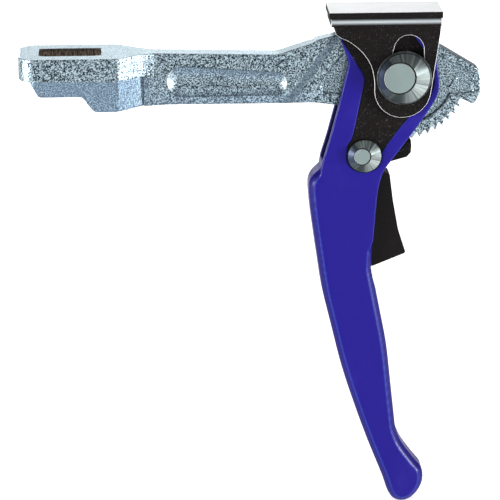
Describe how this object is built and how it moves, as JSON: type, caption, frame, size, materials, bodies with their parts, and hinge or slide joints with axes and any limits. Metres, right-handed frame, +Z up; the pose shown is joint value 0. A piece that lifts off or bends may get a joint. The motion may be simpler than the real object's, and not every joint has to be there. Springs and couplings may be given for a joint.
{
  "type": "ratchet lever clamp arm",
  "caption": "Cast sliding arm with a bar slot, a blue ratchet lever with a release trigger, and a black saddle with a flat pressing plate.",
  "frame": {"origin": "centre of the bar slot in the arm's end, on the arm's middle plane", "axes": "+X along the arm to the head, +Y away from the near side, +Z up along the bar, out of the pressing plate"},
  "size_m": [0.1907, 0.0298, 0.2195],
  "materials": {
    "cast_zinc": "as cast, grained",
    "blue_coating": "smooth gloss coating",
    "black_steel": "black oxide, fine grained",
    "turned_steel": "turned",
    "bare_steel": "ground",
    "zinc_steel": "zinc plated",
    "bronze": "sintered",
    "black_plastic": "moulded, fine grain"
  },
  "bodies": {
    "arm": {"cast_arm": "cast_zinc", "pivot_bush": "bronze", "thrust_washer_front": "zinc_steel", "thrust_washer_back": "zinc_steel"},
    "lever": {"handle_grip": "blue_coating", "lever_plate_front": "black_steel", "lever_plate_back": "black_steel", "pivot_pin": "turned_steel", "pivot_collar_back": "turned_steel", "pivot_washer_front": "zinc_steel", "pivot_washer_back": "zinc_steel", "trigger_pin": "turned_steel", "trigger_collar_back": "turned_steel", "trigger_sleeve": "zinc_steel", "trigger_spring": "zinc_steel"},
    "trigger": {"ratchet_pawl": "black_steel", "release_trigger": "black_plastic", "pawl_rivets": "black_steel"},
    "saddle": {"pressure_saddle": "black_steel", "pressure_plate": "bare_steel"}
  },
  "joints": [
    {"name": "lever_turn", "type": "hinge", "parent": "arm", "child": "lever", "pos_m": [0.1368, 0, 0.0039], "axis": [0, 1, 0], "range_deg": [-50.4, 14.4]},
    {"name": "trigger_turn", "type": "hinge", "parent": "lever", "child": "trigger", "pos_m": [0.1212, 0, -0.0302], "axis": [0, 1, 0], "range_deg": [-7.5, 8], "stiffness_Nm_per_rad": 0.3, "deforming": ["trigger_spring"]},
    {"name": "saddle_lift", "type": "slide", "parent": "arm", "child": "saddle", "axis": [0, 0, 1], "range_m": [-0.0045, 0.0013]}
  ],
  "couplings": [
    {"joint": "saddle_lift", "follows": "lever_turn", "m_per_rad": 0.005}
  ]
}
